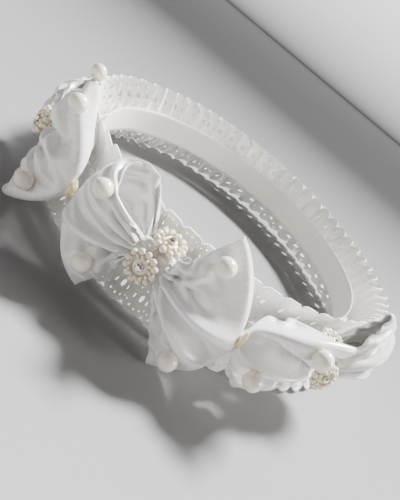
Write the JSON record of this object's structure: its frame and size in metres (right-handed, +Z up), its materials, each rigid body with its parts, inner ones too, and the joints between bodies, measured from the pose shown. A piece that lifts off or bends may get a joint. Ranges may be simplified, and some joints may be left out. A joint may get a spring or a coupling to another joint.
{
  "type": "flower crown",
  "caption": "Wired ribbon head ring with a gathered lace ruffle all round, looped satin bows across the front, beaded pearl flowers with rhinestones and loose pearls.",
  "frame": {"origin": "middle of the head opening, on the plane that the lower ruffle stands on", "axes": "+Z up through the head opening, -Y towards the middle bow at the front, +X to the right of someone looking at the front"},
  "size_m": [0.2096, 0.2308, 0.061],
  "materials": {
    "satin": "white satin ribbon, glossy weave with a stitched edge",
    "lace": "white cotton eyelet lace, matt, with scalloped edges",
    "band_ribbon": "off-white ribbed ribbon, matt",
    "felt": "off-white felt, matt",
    "pearl": "pearlised cream coating over plastic",
    "bead": "ivory pearlised beads",
    "rhinestone": "faceted, foil backed",
    "wire": "drawn steel wire",
    "glue": "yellowed clear hot-melt glue"
  },
  "bodies": {
    "root": {"inner_band": "band_ribbon", "wire_casing": "band_ribbon", "ring_wire": "wire", "wire_sleeve": "wire", "lace_ruffle_upper": "lace", "lace_ruffle_lower": "lace", "bow_1_loop_left": "satin", "bow_1_loop_right": "satin", "bow_1_knot": "satin", "bow_1_pad": "felt", "bow_2_loop_left": "satin", "bow_2_loop_right": "satin", "bow_2_knot": "satin", "bow_2_pad": "felt", "bow_3_loop_left": "satin", "bow_3_loop_right": "satin", "bow_3_knot": "satin", "bow_3_pad": "felt", "flower_1_front_beads": "bead", "flower_1_front_cup": "pearl", "flower_1_front_stone": "rhinestone", "flower_1_top_beads": "bead", "flower_1_top_cup": "pearl", "flower_1_top_stone": "rhinestone", "flower_2_front_beads": "bead", "flower_2_front_cup": "pearl", "flower_2_front_stone": "rhinestone", "flower_2_top_beads": "bead", "flower_2_top_cup": "pearl", "flower_2_top_stone": "rhinestone", "flower_3_front_beads": "bead", "flower_3_front_cup": "pearl", "flower_3_front_stone": "rhinestone", "flower_3_top_beads": "bead", "flower_3_top_cup": "pearl", "flower_3_top_stone": "rhinestone", "pearl_1_left_upper": "pearl", "pearl_1_right_upper": "pearl", "pearl_1_right_lower": "pearl", "pearl_2_left_upper": "pearl", "pearl_2_left_lower": "pearl", "pearl_2_right_upper": "pearl", "pearl_2_right_lower": "pearl", "pearl_3_left_upper": "pearl", "pearl_3_left_lower": "pearl", "glue_dab_1": "glue", "glue_dab_2": "glue"}
  },
  "joints": []
}
